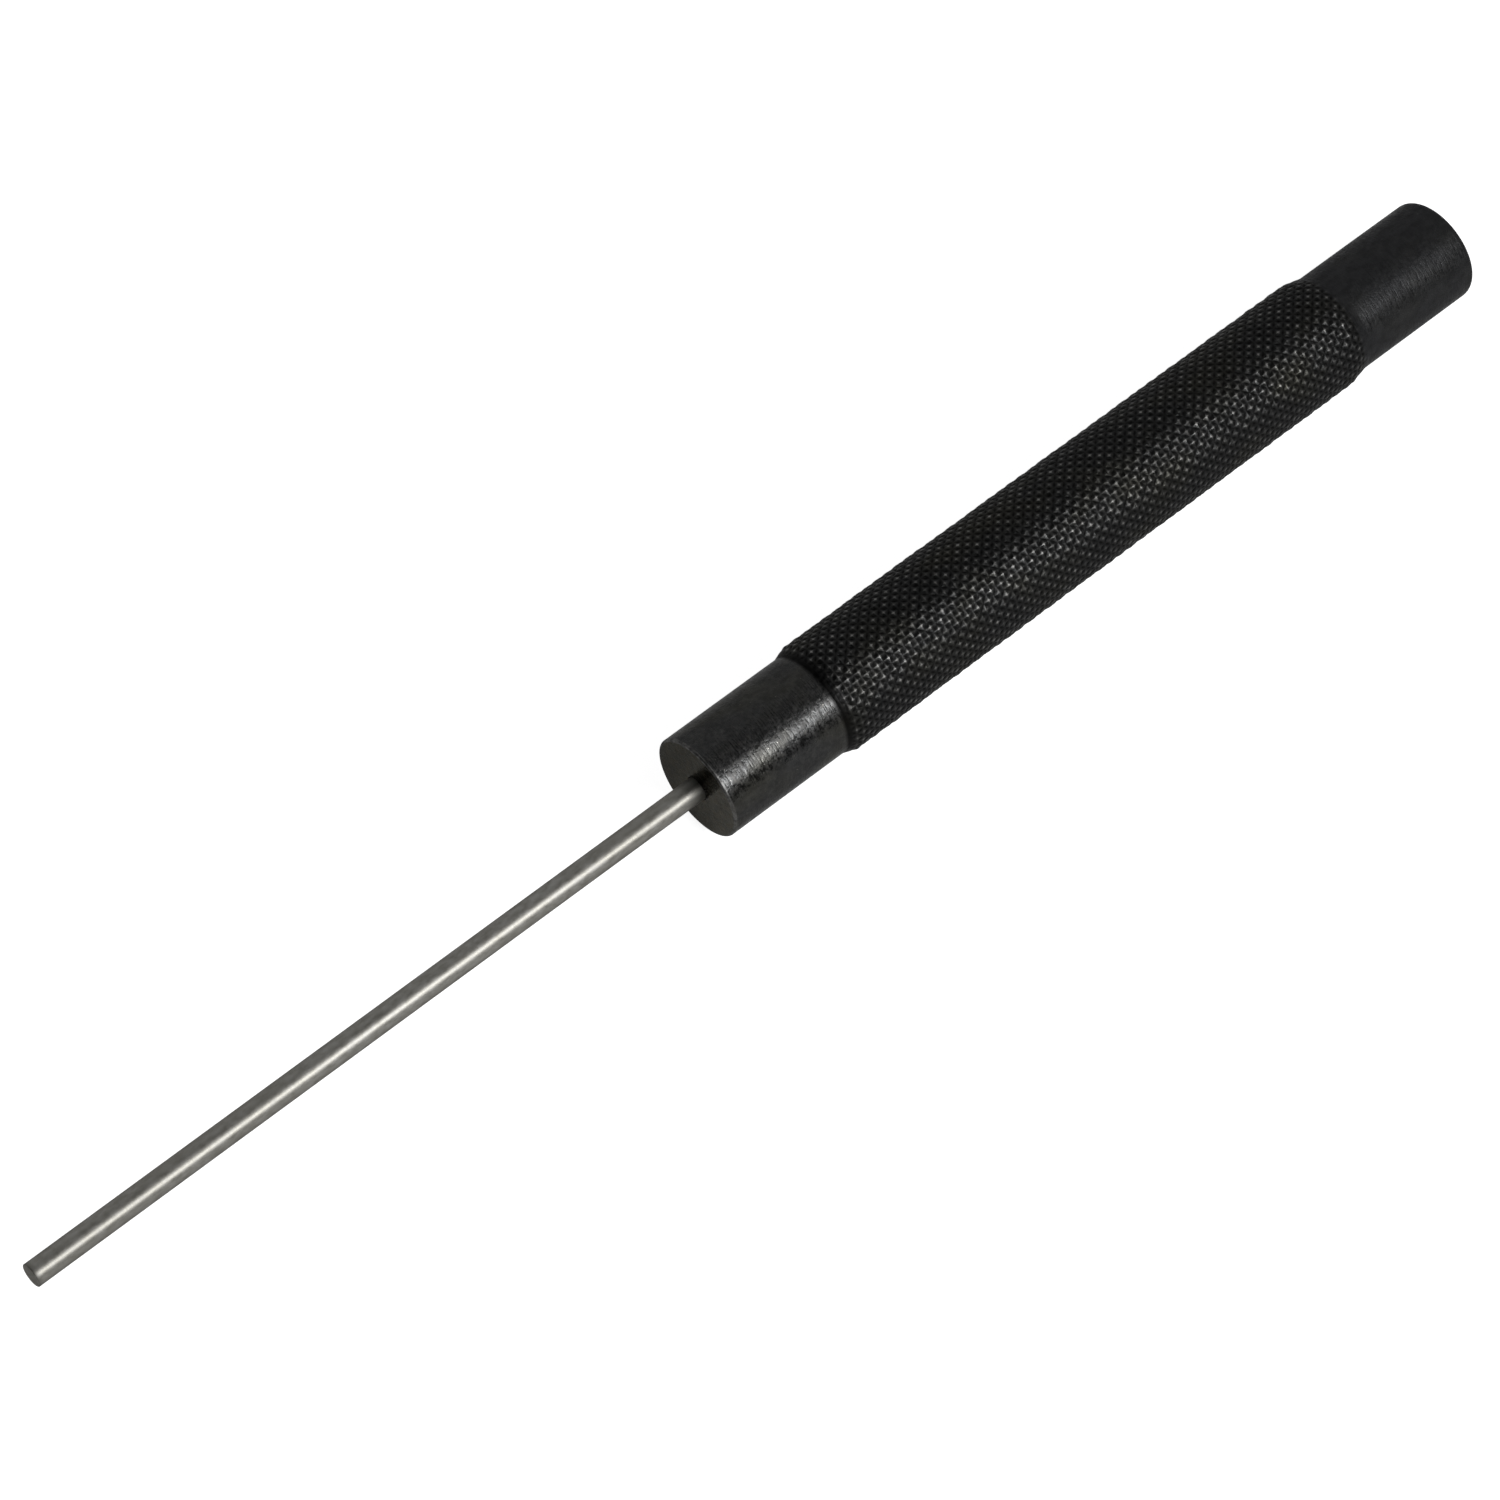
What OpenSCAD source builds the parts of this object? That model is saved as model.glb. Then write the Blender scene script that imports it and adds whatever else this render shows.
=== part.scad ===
// Long-series pin punch: a slender ground steel pin pressed into a knurled, blackened steel handle.
// The tool lies along +X. The centre of the pin's flat working end is the origin, and +Z is up.

/* [Pin] */
// Diameter of the ground pin
pin_d = 2.5; // [1.5:0.1:4]
// Length of pin that stands out of the handle
pin_reach = 80; // [30:1:110]
// Length of pin pressed into the handle
pin_seat = 30; // [10:1:40]
// Edge break round the flat working end
tip_chamfer = 0.12; // [0.05:0.01:0.3]
// Lead-in chamfer on the end that goes into the bore
tail_chamfer = 0.35; // [0.1:0.05:0.6]

/* [Handle] */
// Length of the handle from its front face to its striking face
handle_len = 100; // [85:1:105]
// Diameter of the plain front and rear lands
land_d = 11.1; // [9:0.1:11.4]
// Length of the plain land behind the front face
front_land = 14.5; // [6:0.5:24]
// Length of the cone that climbs from the front land to the knurl
front_shoulder = 1.45; // [0.6:0.05:3]
// Length of the plain land before the striking face
rear_land = 15.15; // [6:0.5:24]
// Length of the cone that drops from the knurl to the rear land
rear_shoulder = 2.1; // [0.6:0.05:3]
// Chamfer round the front face
front_chamfer = 0.4; // [0.1:0.05:1]
// Radius that rounds the edge of the striking face
rear_round = 0.6; // [0.2:0.05:1.5]

/* [Bore] */
// Extra diameter of the bore over the pin, none for a press fit
bore_clearance = 0; // [0:0.005:0.03]
// Empty length of the bore behind the pin
bore_spare = 1.5; // [0.5:0.1:5]
// Full angle of the drill point at the bottom of the bore
drill_point = 118; // [90:1:140]

/* [Knurl] */
// Diameter over the crests of the knurl
knurl_d = 12.2; // [11.6:0.1:14]
// Depth of the crossed grooves
knurl_depth = 0.38; // [0.2:0.01:0.45]
// Distance along the handle between grooves of one hand
knurl_pitch = 1.36; // [1.3:0.01:2.4]
// Number of grooves of each hand round the handle
groove_count = 29; // [12:1:30]

/* [Hidden] */
// Fineness of the round surfaces
$fn = 96;
// Angle between the points that round the edge of the striking face
round_turn = 15;

// Stations along the tool, measured from the working end
mouth_x = pin_reach;
rear_x = mouth_x + handle_len;
knurl_from = mouth_x + front_land + front_shoulder;
knurl_to = rear_x - rear_land - rear_shoulder;
pin_end = mouth_x + pin_seat;
bore_end = pin_end + bore_spare;

// Radii of the handle
land_r = land_d / 2;
crest_r = knurl_d / 2;
root_r = crest_r - knurl_depth;
bore_r = (pin_d + bore_clearance) / 2;
// Length of the cone that the drill leaves
drill_tip = bore_r / tan(drill_point / 2);

// The shoulder cones run on past the crests, as far again as the grooves are deep
clear_r = crest_r + knurl_depth;
front_slope = front_shoulder / (crest_r - land_r);
rear_slope = rear_shoulder / (crest_r - land_r);

// Knurl rows lie half a pitch apart, counted both ways from the middle of the knurl
row_step = knurl_pitch / 2;
knurl_mid = (knurl_from + knurl_to) / 2;
rows_front = ceil((knurl_mid - knurl_from + front_shoulder) / row_step);
rows_rear = ceil((knurl_to - knurl_mid + rear_shoulder) / row_step);
row_points = 2 * groove_count;

// A point at an angle round the tool's axis
function around(x, r, turn) = [x, r * cos(turn), r * sin(turn)];

// Crests and groove crossings take turns along a row and from row to row
function knurl_row(j) = [
    for (i = [0 : row_points - 1])
        around(knurl_mid + j * row_step,
               abs(i + j) % 2 == 1 ? crest_r : root_r,
               i * 360 / row_points)
];

// A plain ring that carries the bar on past the knurl
function bar_ring(x) = [for (i = [0 : row_points - 1]) around(x, root_r, i * 360 / row_points)];

// Two faces for each cell between rows k and k + 1, split along the groove that crosses it
function cell_faces(k, i, flip) =
    let (a = k * row_points + i,
         b = k * row_points + (i + 1) % row_points,
         c = a + row_points,
         d = b + row_points)
    flip ? [[a, b, c], [b, d, c]] : [[a, b, d], [a, d, c]];

// A bar knurled from end to end of the handle, before it is turned to its outline
module knurled_bar() {
    rings = concat(
        [bar_ring(mouth_x - clear_r)],
        [for (j = [-rows_front : rows_rear]) knurl_row(j)],
        [bar_ring(rear_x + clear_r)]);
    last = len(rings) - 1;
    polyhedron(
        points = [for (ring = rings) each ring],
        faces = concat(
            [[for (i = [row_points - 1 : -1 : 0]) i]],
            [for (k = [0 : last - 1], i = [0 : row_points - 1])
                each cell_faces(k, i, abs(i + k - 1 - rows_front) % 2 == 1)],
            [[for (i = [0 : row_points - 1]) last * row_points + i]]));
}

// Half section of the turned handle with its blind bore, distance along the tool first and radius second
module handle_section() {
    polygon(concat(
        [
            [mouth_x, bore_r],
            [mouth_x, land_r - front_chamfer],
            [mouth_x + front_chamfer, land_r],
            [mouth_x + front_land, land_r],
            [mouth_x + front_land + front_slope * (clear_r - land_r), clear_r],
            [rear_x - rear_land - rear_slope * (clear_r - land_r), clear_r],
            [rear_x - rear_land, land_r]
        ],
        [
            for (turn = [0 : round_turn : 90])
                [rear_x - rear_round * (1 - sin(turn)), land_r - rear_round * (1 - cos(turn))]
        ],
        [
            [rear_x, 0],
            [bore_end + drill_tip, 0],
            [bore_end, bore_r]
        ]));
}

// Turns a half section, drawn along X, about the tool's axis
module turned() {
    rotate([0, 90, 0]) rotate_extrude() rotate([0, 0, 90]) mirror([0, 1]) children();
}

// The handle is the knurled bar cut down to the turned outline, with a blind bore for the pin
module handle() {
    color([0.13, 0.13, 0.13]) intersection() {
        knurled_bar();
        turned() handle_section();
    }
}

// The pin runs from its flat working end to the bottom of its seat
module pin() {
    color([0.62, 0.61, 0.58]) turned() polygon([
        [0, 0],
        [0, pin_d / 2 - tip_chamfer],
        [tip_chamfer, pin_d / 2],
        [pin_end - tail_chamfer, pin_d / 2],
        [pin_end, pin_d / 2 - tail_chamfer],
        [pin_end, 0]
    ]);
}

handle();
pin();
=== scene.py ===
"""Pin punch: a ground steel pin in a blackened, diamond-knurled steel handle, lying on a white surface."""
import math

import bmesh
import bpy
from mathutils import Matrix, Vector


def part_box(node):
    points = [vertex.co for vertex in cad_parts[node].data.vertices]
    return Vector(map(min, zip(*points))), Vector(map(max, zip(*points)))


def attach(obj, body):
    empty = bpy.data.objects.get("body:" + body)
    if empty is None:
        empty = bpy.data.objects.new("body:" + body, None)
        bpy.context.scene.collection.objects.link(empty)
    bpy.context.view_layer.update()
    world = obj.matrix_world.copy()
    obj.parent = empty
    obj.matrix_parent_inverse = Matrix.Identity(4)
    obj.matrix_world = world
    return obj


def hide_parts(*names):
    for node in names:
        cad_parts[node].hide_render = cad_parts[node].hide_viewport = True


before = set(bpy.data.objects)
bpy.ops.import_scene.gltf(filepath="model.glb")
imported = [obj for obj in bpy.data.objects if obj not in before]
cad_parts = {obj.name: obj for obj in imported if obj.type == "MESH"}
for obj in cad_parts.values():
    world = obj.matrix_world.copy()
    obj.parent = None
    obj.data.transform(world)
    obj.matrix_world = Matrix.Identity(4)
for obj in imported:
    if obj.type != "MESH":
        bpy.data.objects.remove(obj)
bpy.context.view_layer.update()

# Units: shapes are worked out in millimetres and written in metres
MM = 0.001

# Driving sizes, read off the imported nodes
handle_lo, handle_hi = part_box("handle")
pin_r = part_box("pin")[1].y / MM
mouth_x = handle_lo.x / MM
rear_x = handle_hi.x / MM
crest_r = handle_hi.y / MM

# Sizes of the turned handle
land_r = 5.55
front_land = 14.5
front_shoulder = 1.45
rear_land = 15.15
rear_shoulder = 2.1
front_round = 0.2
rear_round = 0.85
bore_gap = 0.03
# How softly a cone turns into the knurled length
corner_soft = 0.05

# Sizes of the diamond knurl
groove_count = 29
knurl_pitch = 1.36
knurl_depth = 0.165
# How far the crests lie below the turned outline, and how much further the lowest of them does
crest_blunt = 0.008
crest_spread = 0.05
# Shape of a diamond: the share of its height at which its tip is cut off and how much that varies,
# how soft the cut is, and how much the grooves rise where they cross
crest_cap = 0.8
cap_spread = 0.2
crest_soft = 0.3
crossing_lift = 0.36
# Share of a cone's climb at which the knurl's marks begin, and share of their depth at which its wear and
# painted shade are full
knurl_fades = 0.15
wear_and_shade_fades = 0.5

# Sizes of the pin's edge and of the length that is kept inside the handle
tip_chamfer = 0.07
pin_reach_in = 3.0

# Rows of points that keep the handle's edges crisp, as distances from the edge or the axis
bore_rows = (1.2, 0.08)
face_rows = (0.1, 0.5)
face_margin = 0.08
land_margin = 0.12
cone_margin = 0.4
front_land_rows = (4.0, 9.0)
rear_land_rows = (10.0, 5.0)
striking_margin = 0.3
striking_shares = (0.66, 0.33)
striking_hub = 0.15

# The same for the pin: radii on its working face, then distance behind that face and inside the pin's radius
tip_face_rows = (0.08, 0.4, 0.8)
tip_edge_rows = (
    (0.0, tip_chamfer + 0.02),
    (0.012, tip_chamfer - 0.01),
    (tip_chamfer - 0.015, 0.012),
    (tip_chamfer + 0.03, 0.0),
)
tip_shank_rows = (0.3, 0.6)

# Wear and shade painted on the handle: relief (low is painted shade, or a darker tone at the rear), how far
# the black is rubbed off, and how dull it is
plain_wear = (0.8, 0.0, 0.12)
face_wear = (0.8, 0.0, 0.03)
edge_wear = (1.0, 0.3, 0.25)
# A darker tone on the rear land, and on the rear cone below, through their lower relief
rear_land_tone = (0.57, 0.0, 0.4)
# Painted shade on the front cone and in the bore's mouth
front_cone_shaded = (0.16, 0.0, 0.1)
rear_cone_tone = (0.56, 0.0, 0.5)
knurl_dull = 0.2
# Relief at the top of a diamond, below that of the lands, so the painted shade dims even its top a little, as
# its flanks stay dark
knurl_top = 0.7
# How far the black is rubbed off the diamond that is rubbed least
rub_least = 0.4
# Numbers that scatter the luck of the diamonds
luck_steps = (127.1, 311.7)
luck_scatter = 43758.5453

# Wear and shade painted on the pin: how far it is left undarkened, no rub, and how dull it is
tip_wear = (1.0, 0.0, 0.9)
undarkened_shank = (1.0, 0.0, 0.5)
darkened_ends = (0.4, 0.0, 0.85)
# Lengths darkened at the pin's ends: painted shade at its root by the handle's face, and a darker strip by
# its working end
root_shade_reach = 1.8
tip_dark_reach = 0.5

# Fineness of the meshes
row_samples = 8
around_samples = 8
pin_around = 128
stretches = 40
root_shade_steps = 6
front_steps = 6
rear_steps = 10

# Colours of the blackened steel: the film by its mottle, what tints it, its pale specks and the bare metal.
# Then its glance, which is how much it keeps of a grazing reflection, and its roughness from shiny to dull.
film_tones = ((0.3, (0.036, 0.037, 0.037)), (0.55, (0.05, 0.05, 0.05)), (0.8, (0.07, 0.069, 0.065)))
brown_tones = ((0.2, (0.052, 0.051, 0.042)), (1.0, (0.062, 0.056, 0.042)))
oil_tint = (0.06, 0.058, 0.046)
blue_tint = (0.052, 0.053, 0.057)
speck_color = (0.3, 0.29, 0.27)
bare_color = (0.37, 0.364, 0.353)
black_glance = 0.62
black_rough = (0.22, 0.72)

# The same for the ground steel: its tone by its mottle, a broad warm tint and the colour of its darkened ends
ground_tones = ((0.35, (0.25, 0.243, 0.22)), (0.5, (0.32, 0.312, 0.288)), (0.65, (0.38, 0.374, 0.354)))
warm_tint = (0.27, 0.262, 0.234)
darkened_color = (0.1, 0.096, 0.085)
ground_glance = 0.3
ground_rough = (0.28, 0.62)

# The floor: half its width in metres, its colour, and the white added for the camera and in reflections
floor_half = 2.0
floor_color = (0.8, 0.8, 0.8, 1)
floor_seen = 0.88
floor_mirrored = 0.2

# Strength of the dome, the same in its dark opening, the direction of that opening, and how nearly
# a direction has to agree with it to be in its edge and fully in it
dome_light = 0.4
dome_dark = 0.0
opening_side = (-0.6, -0.25, 0.76)
opening_from = 0.48
opening_full = 0.64
# How much darker the dome is low down on the working side, how high that reaches, and how far round
low_dark = 0.85
low_from = 0.45
low_full = 0.3
near_from = -0.3
near_full = -0.6
# What the dome adds for reflections and seen through glass, and for the camera, to which it is white
dome_mirrored = 0.02
dome_seen = 1.0

# The soft box, in metres and watts
key_place = (0.158, -0.3, 0.252)
key_target = (0.08, 0, 0)
key_size = (0.2, 0.114)
key_watts = 0.96

# Camera, fitted to the photo
camera_sensor = 36.0
camera_lens = 144.66
camera_azimuth = 41.689
camera_elevation = 55.276
camera_place = (-131.46, -245.03, 473.39)
camera_clip = (0.01, 20)

# Stations and counts that follow from the sizes
knurl_from = mouth_x + front_land + front_shoulder
knurl_to = rear_x - rear_land - rear_shoulder
knurl_mid = (knurl_from + knurl_to) / 2
row_step = knurl_pitch / 2
row_points = 2 * groove_count
front_slope = front_shoulder / (crest_r - land_r)
rear_slope = rear_shoulder / (crest_r - land_r)


def noise_at(a, b):
    """A repeatable number from 0 to 1 for a pair of whole numbers."""
    v = math.sin(a * luck_steps[0] + b * luck_steps[1]) * luck_scatter
    return v - math.floor(v)


def fold(v):
    """Distance of v from the nearest even whole number, from 0 to 1."""
    return abs((v + 1) % 2 - 1)


def smooth_min(a, b, soft):
    """The lesser of two heights, with a rounded change from one to the other."""
    h = max(soft - abs(a - b), 0) / soft
    return min(a, b) - h * h * soft / 4


def blend(a, b, share):
    """Wear and shade values between two others."""
    return tuple(p + (q - p) * share for p, q in zip(a, b))


def knurl_mound(x, turn):
    """How far up its diamond a point is, how far painted shade leaves it undarkened, and the luck of that
    diamond.

    The point is given by its station and by its column, in points of the knurl's rows.
    """
    u = (x - knurl_mid) / row_step
    left = fold(u + turn)
    right = fold(u - turn)
    luck = noise_at(math.floor((u + turn) / 2), math.floor((u - turn) / 2))
    rise = min(left, right)
    # Painted shade: dark lenses lie midway along the grooves, and the crossings between them stay lighter and
    # higher
    lens = abs(left - right) * (1 - rise)
    crossing = crossing_lift * (1 - left) * (1 - right)
    return rise + crossing, (1 + rise - lens) / 2, luck


def turned_radius(x):
    """Radius of the turned outline between the two lands, before it is knurled."""
    front = land_r + (x - mouth_x - front_land) / front_slope
    rear = land_r + (rear_x - rear_land - x) / rear_slope
    return smooth_min(min(front, rear), crest_r, corner_soft)


def ring(bm, x, radii):
    """Points round the tool's axis at one station, one for each radius given."""
    count = len(radii)
    out = []
    for k, r in enumerate(radii):
        t = 2 * math.pi * k / count
        out.append(bm.verts.new((x * MM, r * math.cos(t) * MM, r * math.sin(t) * MM)))
    return out


def skin(bm, rings):
    """Quads between one ring and the next."""
    count = len(rings[0])
    for a, b in zip(rings[:-1], rings[1:]):
        for k in range(count):
            n = (k + 1) % count
            bm.faces.new((a[k], a[n], b[n], b[k]))


def make_piece(bm, name, material):
    """Turns a finished bmesh into a smooth-shaded object with one material."""
    bmesh.ops.recalc_face_normals(bm, faces=bm.faces)
    mesh = bpy.data.meshes.new(name)
    bm.to_mesh(mesh)
    bm.free()
    mesh.polygons.foreach_set("use_smooth", [True] * len(mesh.polygons))
    piece = bpy.data.objects.new(name, mesh)
    bpy.context.scene.collection.objects.link(piece)
    mesh.materials.append(material)
    return piece


def paint(piece, wear_and_shade):
    """Stores three values of wear and painted shade for each point of a piece, for its material to read."""
    layer = piece.data.attributes.new("wear_and_shade", "FLOAT_COLOR", "POINT")
    layer.data.foreach_set("color", [v for w in wear_and_shade for v in (*w, 1.0)])


def turned_piece(name, material, stations):
    """A closed, painted piece from its stations: distance along the tool, radii, and wear and shade round it.
    """
    bm = bmesh.new()
    rings = [ring(bm, x, radii) for x, radii, _ in stations]
    skin(bm, rings)
    bm.faces.new(rings[0])
    bm.faces.new(rings[-1])
    piece = make_piece(bm, name, material)
    paint(piece, [w for _, _, wear_and_shade in stations for w in wear_and_shade])
    return piece


def round_stations(outline, count):
    """Stations of a half section, each point of which has one radius and one set of wear and shade values all
    round.
    """
    return [(x, [r] * count, [w] * count) for x, r, w in outline]


def arc(cx, cr, radius, start, stop, steps):
    """Points of an arc in the half section, (station, radius), by angle from the tool's axis."""
    pts = []
    for k in range(steps + 1):
        a = math.radians(start + (stop - start) * k / steps)
        pts.append((cx + radius * math.cos(a), cr + radius * math.sin(a)))
    return pts


def front_outline():
    """Half section of the handle's front end, with wear and painted shade: bore mouth, face, edge and plain
    land.
    """
    bore_r = pin_r + bore_gap
    face_r = land_r - front_round
    faces = [pin_r + row for row in face_rows]
    faces += [(pin_r + face_r) / 2, face_r - face_margin]
    lands = (front_round + land_margin, *front_land_rows, front_land - cone_margin)
    edge = arc(mouth_x + front_round, face_r, front_round, 180, 90, front_steps)
    # Painted shade inside the bore's mouth, with the front cone's values
    pts = [(mouth_x + depth, bore_r, front_cone_shaded) for depth in bore_rows]
    pts += [(mouth_x, r, face_wear) for r in faces]
    pts += [(x, r, edge_wear) for x, r in edge]
    pts += [(mouth_x + x, land_r, plain_wear) for x in lands]
    return pts


def rear_outline():
    """Half section of the handle's rear end, with its wear and darker tone: plain land, rounded edge and
    striking face.
    """
    centre_r = land_r - rear_round
    lands = (rear_land - cone_margin, *rear_land_rows)
    faces = [centre_r - striking_margin]
    faces += [centre_r * share for share in striking_shares]
    faces += [striking_hub]
    pts = [(rear_x - x, land_r) for x in lands]
    pts += arc(rear_x - rear_round, centre_r, rear_round, 90, 0, rear_steps)
    pts += [(rear_x, r) for r in faces]
    return [(x, r, rear_land_tone) for x, r in pts]


def grip_station(x, columns):
    """One station between the lands, where the knurl fades out down the turned cones."""
    outline = turned_radius(x)
    climb = (outline - land_r) / (crest_r - land_r)
    bite = min(max(climb - knurl_fades, 0) / (1 - knurl_fades), 1)
    # The cones take painted shade at the front and a darker tone at the rear
    cone = front_cone_shaded if x < knurl_mid else rear_cone_tone
    radii = []
    wear_and_shade = []
    for c in range(columns):
        mound, undarkened, luck = knurl_mound(x, c / around_samples)
        dome = smooth_min(mound / (crest_cap + cap_spread * (luck - 0.5)), 1.0, crest_soft)
        worn = crest_blunt + crest_spread * luck
        radii.append(outline - bite * (worn + (1 - dome) * (knurl_depth - worn)))
        rubbed = rub_least + (1 - rub_least) * luck * luck
        # Painted shade in the grooves and lenses, with the black rubbed off the tops
        diamond = (knurl_top * undarkened, rubbed, knurl_dull)
        wear_and_shade.append(blend(cone, diamond, min(bite / wear_and_shade_fades, 1)))
    return x, radii, wear_and_shade


def build_handle(material):
    """The whole handle in one closed skin, with every diamond of the knurl in the mesh."""
    columns = row_points * around_samples
    first_x = mouth_x + front_land
    last_x = rear_x - rear_land
    count = int((last_x - first_x) / row_step * row_samples)
    stations = round_stations(front_outline(), columns)
    stations += [grip_station(first_x + (last_x - first_x) * k / count, columns) for k in range(count + 1)]
    stations += round_stations(rear_outline(), columns)
    piece = turned_piece("handle_body", material, stations)
    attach(piece, "root")
    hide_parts("handle")


def shank_wear_and_shade(x):
    """Wear and shade of the pin at a station: undarkened along the shank, with painted shade at its root and
    darker next to its working end.
    """
    root = 1 - (mouth_x - x) / root_shade_reach
    tip = 1 - x / tip_dark_reach
    return blend(undarkened_shank, darkened_ends, min(max(root, tip, 0), 1))


def pin_outline():
    """Half section of the pin, with wear and shade: working face, broken edge and shank, into the handle."""
    pts = [(0.0, r) for r in tip_face_rows]
    pts += [(x, pin_r - inset) for x, inset in tip_edge_rows]
    # The shank's wear and shade begin on the last two points of the edge
    shank_from = len(pts) - 2
    pts += [(x, pin_r) for x in tip_shank_rows]
    plain_end = mouth_x - root_shade_reach
    pts += [(plain_end * k / stretches, pin_r) for k in range(1, stretches + 1)]
    pts += [(plain_end + root_shade_reach * k / root_shade_steps, pin_r) for k in range(1, root_shade_steps + 1)]
    pts += [(mouth_x + pin_reach_in, pin_r)]
    return [(x, r, tip_wear if k < shank_from else shank_wear_and_shade(x)) for k, (x, r) in enumerate(pts)]


def build_pin(material):
    """The bare pin, with a broken edge round its flat working end."""
    piece = turned_piece("pin_body", material, round_stations(pin_outline(), pin_around))
    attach(piece, "root")
    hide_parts("pin")


class Nodes:
    """Short calls for building a node tree."""

    def __init__(self, tree):
        self.tree = tree

    def add(self, kind, **inputs):
        """A new node; an input is given by its name, or by i and its number."""
        node = self.tree.nodes.new(kind)
        for key, value in inputs.items():
            self.put(node, key, value)
        return node

    def put(self, node, key, value):
        numbered = key[0] == "i" and key[1:].isdigit()
        socket = node.inputs[int(key[1:]) if numbered else key.replace("_", " ")]
        if isinstance(value, bpy.types.NodeSocket):
            self.tree.links.new(value, socket)
        else:
            socket.default_value = value

    def place(self, per_mm):
        """Object coordinates, with so many units to the millimetre along each axis."""
        coord = self.add("ShaderNodeTexCoord")
        mapping = self.add("ShaderNodeMapping", Vector=coord.outputs["Object"])
        mapping.inputs["Scale"].default_value = [s / MM for s in per_mm]
        return mapping.outputs["Vector"]

    def noise(self, vector, detail, rough):
        node = self.add("ShaderNodeTexNoise", Vector=vector, Scale=1.0, Detail=detail, Roughness=rough)
        return node.outputs["Fac"]

    def ramp(self, fac, stops):
        node = self.add("ShaderNodeValToRGB", Fac=fac)
        ramp = node.color_ramp
        while len(ramp.elements) < len(stops):
            ramp.elements.new(0.5)
        for element, (at, color) in zip(ramp.elements, stops):
            element.position = at
            element.color = (*color, 1)
        return node.outputs["Color"]

    def span(self, value, from_lo, from_hi, to_lo, to_hi):
        """Moves a value from one range to another and stops it at the ends."""
        node = self.add("ShaderNodeMapRange", Value=value)
        for key, v in (("From Min", from_lo), ("From Max", from_hi), ("To Min", to_lo), ("To Max", to_hi)):
            node.inputs[key].default_value = v
        return node.outputs["Result"]

    def mix(self, fac, a, b, mode="MIX"):
        node = self.tree.nodes.new("ShaderNodeMix")
        node.data_type = "RGBA"
        node.blend_type = mode
        # The colour sockets of a mix node share their names with others, so they go by number
        for key, value in ((0, fac), (6, a), (7, b)):
            if isinstance(value, bpy.types.NodeSocket):
                self.tree.links.new(value, node.inputs[key])
            else:
                node.inputs[key].default_value = value if key == 0 else (*value, 1)
        return node.outputs[2]

    def gray(self, value):
        node = self.add("ShaderNodeCombineColor", Red=value, Green=value, Blue=value)
        return node.outputs["Color"]

    def math(self, op, a, b, clamp=False):
        node = self.add("ShaderNodeMath", i0=a, i1=b)
        node.operation = op
        node.use_clamp = clamp
        return node.outputs[0]

    def bump(self, height, strength, distance_mm, normal=None):
        node = self.add("ShaderNodeBump", Height=height, Strength=strength, Distance=distance_mm * MM)
        if normal is not None:
            self.put(node, "Normal", normal)
        return node.outputs["Normal"]

    def ray_kinds(self):
        """Whether a ray comes from the camera, and whether from a reflection or through glass."""
        path = self.add("ShaderNodeLightPath")
        mirrored = self.math("MAXIMUM", path.outputs["Is Glossy Ray"], path.outputs["Is Transmission Ray"])
        return path.outputs["Is Camera Ray"], mirrored

    def out(self, shader):
        node = self.add("ShaderNodeOutputMaterial")
        self.tree.links.new(shader, node.inputs["Surface"])


def blank_material(name):
    """A new material, and its emptied nodes."""
    material = bpy.data.materials.new(name)
    material.use_nodes = True
    material.node_tree.nodes.clear()
    return material, Nodes(material.node_tree)


def wear_and_shade_channels(n):
    """The three values of wear and painted shade on a piece."""
    wear_and_shade = n.add("ShaderNodeAttribute")
    wear_and_shade.attribute_name = "wear_and_shade"
    split = n.add("ShaderNodeSeparateColor", Color=wear_and_shade.outputs["Color"])
    return split.outputs["Red"], split.outputs["Green"], split.outputs["Blue"]


def metal(n, base, rough, bumpy, glance):
    """Finishes a metal; glance dims what it reflects at a grazing angle."""
    shader = n.add("ShaderNodeBsdfPrincipled", Base_Color=base, Roughness=rough, Normal=bumpy)
    shader.inputs["Metallic"].default_value = 1.0
    shader.inputs["Specular Tint"].default_value = (glance, glance, glance, 1)
    n.out(shader.outputs["BSDF"])


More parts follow.
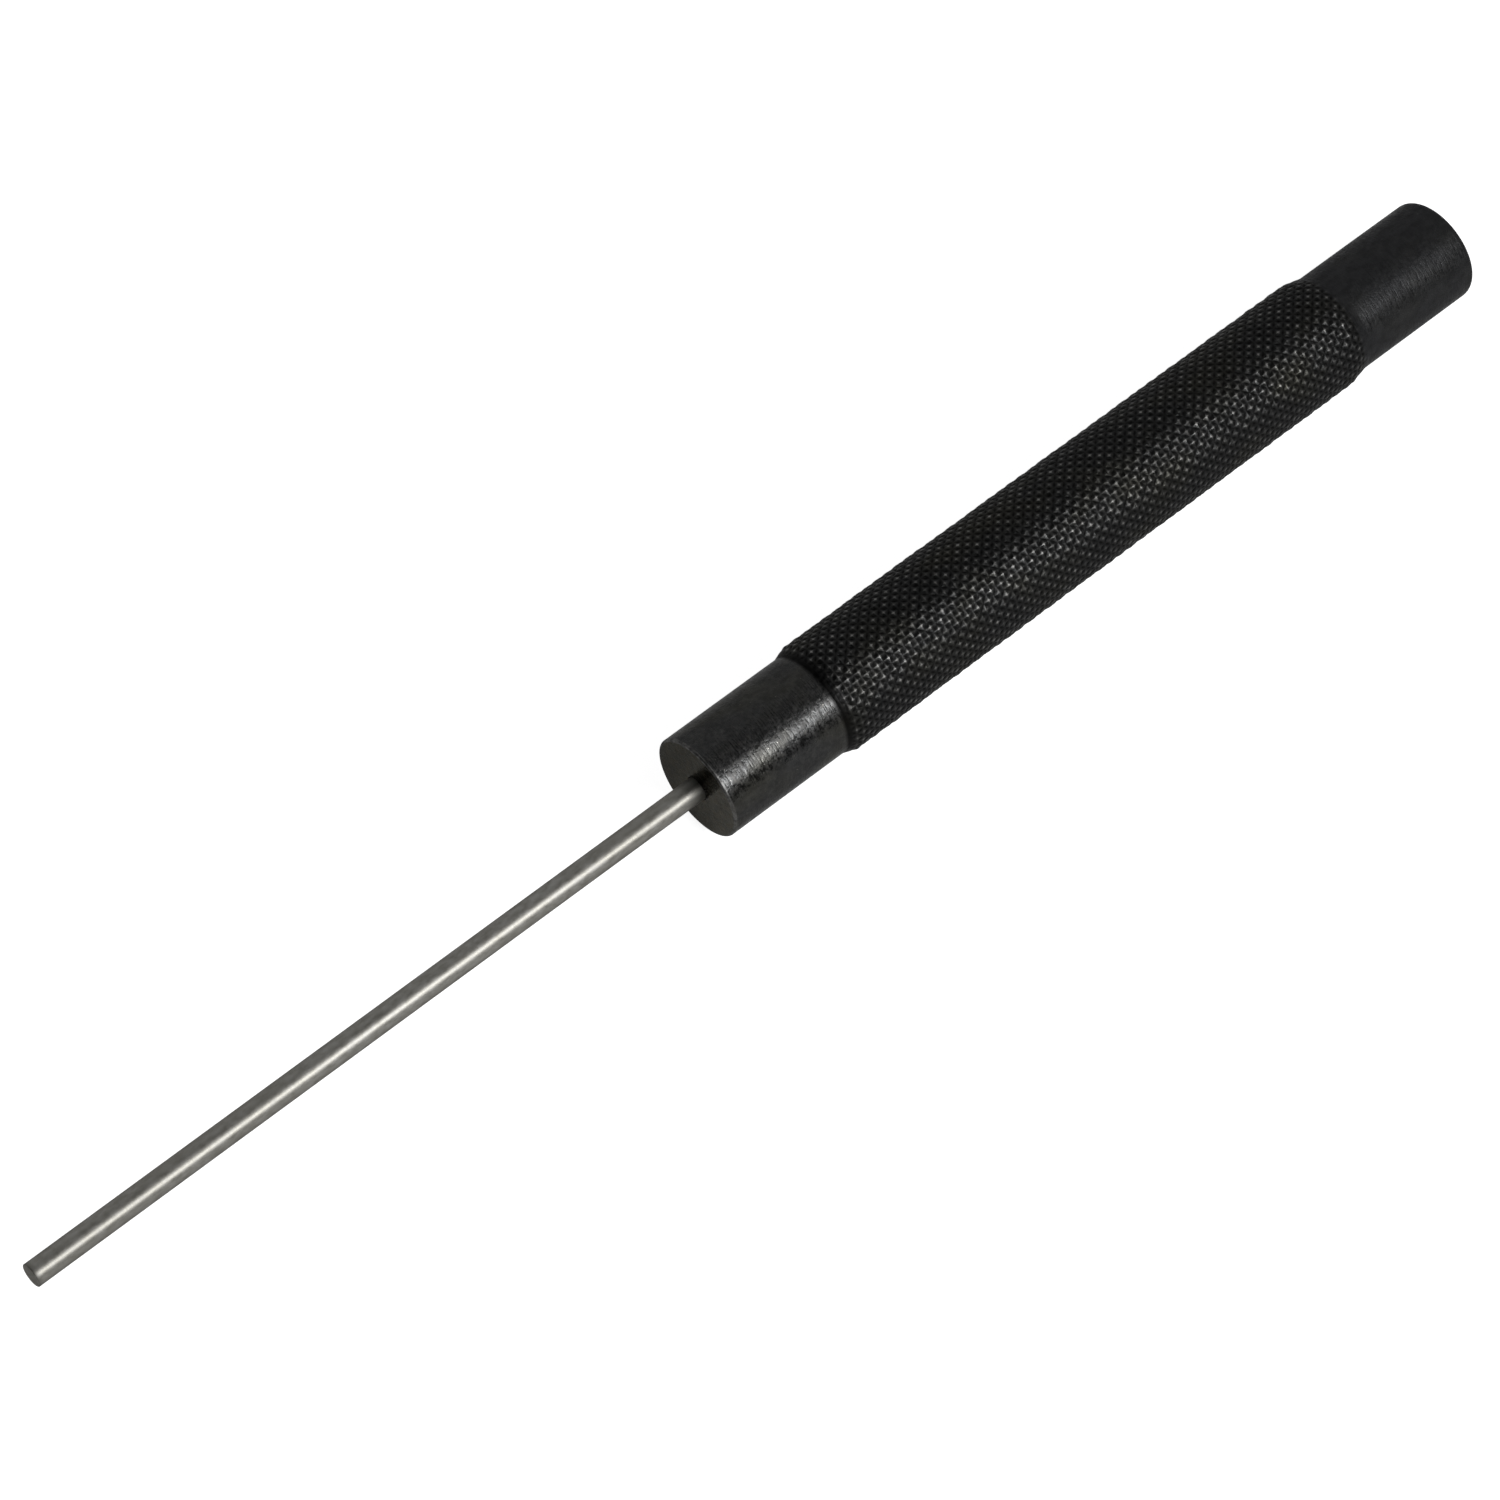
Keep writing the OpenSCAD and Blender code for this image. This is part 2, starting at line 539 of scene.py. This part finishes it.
def black_oxide():
    """Blackened steel with fine turning lines, a mottled oily film, pale specks, rubbed tops and edges, and
    painted shade.
    """
    material, n = blank_material("black_oxide_steel")
    relief, rub, dull = wear_and_shade_channels(n)
    fine = n.noise(n.place((2.4, 2.4, 2.4)), 2.5, 0.6)
    blotch = n.noise(n.place((0.8, 1.1, 1.1)), 3.0, 0.6)
    broad = n.noise(n.place((0.16, 0.3, 0.3)), 3.0, 0.5)
    lines = n.noise(n.place((6.0, 0.8, 0.8)), 3.0, 0.5)
    grain = n.noise(n.place((7.0, 7.0, 7.0)), 2.0, 0.5)
    chips = n.span(n.noise(n.place((1.3, 1.3, 1.3)), 3.0, 0.6), 0.4, 0.6, 0.15, 1.0)
    specks = n.span(n.noise(n.place((4.0, 4.0, 4.0)), 1.0, 0.4), 0.79, 0.82, 0.0, 0.7)
    # Turning rings, which show only on the two end faces
    radius = n.add("ShaderNodeVectorMath", i0=n.place((0.0, 5.0, 5.0)))
    radius.operation = "LENGTH"
    rings = n.noise(radius.outputs["Value"], 2.0, 0.5)

    # Colour: the film, browned where it is least dull, with specks, bare tops, a blue tint and painted shade
    # in the grooves
    rubbed = n.math("MULTIPLY", n.span(relief, 0.53, 0.68, 0.0, 1.0), rub)
    film = n.mix(n.span(broad, 0.45, 0.75, 0.0, 0.6), n.ramp(fine, film_tones), oil_tint)
    base = n.mix(n.span(dull, 0.04, 0.1, 1.0, 0.0), film, n.ramp(chips, brown_tones))
    base = n.mix(specks, base, speck_color)
    base = n.mix(n.math("MULTIPLY", rubbed, chips, clamp=True), base, bare_color)
    base = n.mix(n.span(dull, 0.25, 0.35, 0.0, 0.6), base, blue_tint)
    # Painted shade: the colour darkens where the painted relief is low, in the knurl's grooves, the bore and
    # the front cone, and the rear end gets a darker tone from it
    cavity = n.span(relief, 0.02, 0.78, 0.03, 1.0)
    shade = n.math("MULTIPLY", cavity, n.span(blotch, 0.35, 0.65, 0.85, 1.18))
    base = n.mix(1.0, base, n.gray(shade), "MULTIPLY")

    # Roughness: patchy, and higher where the black is rubbed and down in the grooves
    patchy = n.math("ADD", n.span(fine, 0.4, 0.62, -0.06, 0.08), n.span(lines, 0.4, 0.6, -0.05, 0.05))
    patchy = n.math("ADD", patchy, n.span(blotch, 0.35, 0.65, 0.02, -0.02))
    scuffed = n.math("ADD", n.math("MULTIPLY", rubbed, 0.24), n.span(relief, 0.2, 0.6, 0.2, 0.0))
    rough = n.math("ADD", n.math("ADD", n.span(dull, 0.0, 1.0, *black_rough), patchy), scuffed)

    # Relief too fine for the mesh
    bumpy = n.bump(grain, 0.2, 0.02)
    bumpy = n.bump(rings, 0.6, 0.02, bumpy)
    bumpy = n.bump(lines, 0.6, 0.06, bumpy)
    bumpy = n.bump(fine, 0.8, 0.045, bumpy)
    metal(n, base, rough, bumpy, black_glance)
    return material


def ground_steel():
    """Bare ground steel: grinding lines, a grey-brown mottle, a soft sheen, painted shade at its root and a
    darker working end.
    """
    material, n = blank_material("ground_steel")
    undarkened, _, dull = wear_and_shade_channels(n)
    lines = n.noise(n.place((14.0, 0.2, 0.2)), 3.0, 0.6)
    mottle = n.noise(n.place((0.9, 1.8, 1.8)), 5.0, 0.6)
    broad = n.noise(n.place((0.12, 0.5, 0.5)), 3.0, 0.5)
    base = n.mix(n.span(broad, 0.4, 0.7, 0.0, 0.5), n.ramp(mottle, ground_tones), warm_tint)
    # Painted shade at the root, and a darker strip next to the working end
    base = n.mix(undarkened, darkened_color, base)
    patchy = n.math("ADD", n.span(mottle, 0.3, 0.7, -0.04, 0.04), n.span(lines, 0.3, 0.7, -0.03, 0.03))
    rough = n.math("ADD", n.span(dull, 0.0, 1.0, *ground_rough), patchy)
    bumpy = n.bump(lines, 0.12, 0.003)
    bumpy = n.bump(mottle, 0.06, 0.008, bumpy)
    metal(n, base, rough, bumpy, ground_glance)
    return material


def pale_floor():
    """A matt pale sheet, with white added for the camera and in reflections, and the object's shadow kept."""
    material, n = blank_material("pale_floor")
    sheet = n.add("ShaderNodeBsdfDiffuse", Color=floor_color)
    camera, mirrored = n.ray_kinds()
    lift = n.math("ADD", n.math("MULTIPLY", camera, floor_seen), n.math("MULTIPLY", mirrored, floor_mirrored))
    glow = n.add("ShaderNodeEmission", Color=(1, 1, 1, 1), Strength=lift)
    both = n.add("ShaderNodeAddShader", i0=sheet.outputs["BSDF"], i1=glow.outputs["Emission"])
    n.out(both.outputs["Shader"])
    return material


def build_floor(material):
    """A wide flat sheet under the tool."""
    bm = bmesh.new()
    ends = ((-1, -1), (1, -1), (1, 1), (-1, 1))
    bm.faces.new([bm.verts.new((x * floor_half, y * floor_half, handle_lo.z)) for x, y in ends])
    floor = make_piece(bm, "floor", material)


def build_world():
    """A soft dome of plain light with a dark opening, as a light tent has where the photo is taken from."""
    world = bpy.data.worlds.new("dome")
    bpy.context.scene.world = world
    world.use_nodes = True
    n = Nodes(world.node_tree)
    coord = n.add("ShaderNodeTexCoord")
    facing = n.add("ShaderNodeVectorMath", i0=coord.outputs["Generated"], i1=opening_side)
    facing.operation = "DOT_PRODUCT"
    level = n.span(facing.outputs["Value"], opening_from, opening_full, dome_light, dome_dark)
    # The dark band low down on the working side
    axes = n.add("ShaderNodeSeparateXYZ", i0=coord.outputs["Generated"])
    low = n.span(axes.outputs["Z"], low_full, low_from, low_dark, 0.0)
    near = n.span(axes.outputs["Y"], near_full, near_from, 1.0, 0.0)
    lamp = n.math("MULTIPLY", level, n.math("SUBTRACT", 1.0, n.math("MULTIPLY", low, near)))
    # What reflections see on top of that, and the camera instead
    camera, mirrored = n.ray_kinds()
    lamp = n.math("ADD", lamp, n.math("MULTIPLY", mirrored, dome_mirrored))
    seen = n.math("MULTIPLY", camera, dome_seen)
    background = n.tree.nodes["Background"]
    n.put(background, "Color", (1, 1, 1, 1))
    n.put(background, "Strength", n.math("MAXIMUM", lamp, seen))


def build_key():
    """One soft box that makes the long highlight."""
    lamp = bpy.data.lights.new("key_box", "AREA")
    lamp.shape = "RECTANGLE"
    lamp.size, lamp.size_y = key_size
    lamp.energy = key_watts
    obj = bpy.data.objects.new("key_box", lamp)
    obj.location = key_place
    obj.rotation_mode = "QUATERNION"
    obj.rotation_quaternion = (Vector(key_target) - obj.location).to_track_quat("-Z", "Y")
    bpy.context.scene.collection.objects.link(obj)


def build_camera():
    """The camera fitted to the photo's outline: it looks down at the tool from the working end's side."""
    az = math.radians(camera_azimuth)
    el = math.radians(camera_elevation)
    look = Vector((math.sin(az) * math.cos(el), math.cos(az) * math.cos(el), -math.sin(el)))
    right = Vector((math.cos(az), -math.sin(az), 0))
    up = right.cross(look)
    camera = bpy.data.cameras.new("camera")
    camera.sensor_width = camera_sensor
    camera.lens = camera_lens
    camera.clip_start, camera.clip_end = camera_clip
    obj = bpy.data.objects.new("camera", camera)
    bpy.context.scene.collection.objects.link(obj)
    axes = Matrix((right, up, -look)).transposed().to_4x4()
    axes.translation = Vector(camera_place) * MM
    obj.matrix_world = axes
    bpy.context.scene.camera = obj


build_handle(black_oxide())
build_pin(ground_steel())
build_floor(pale_floor())
build_world()
build_key()
build_camera()
bpy.context.scene.view_settings.view_transform = "Standard"
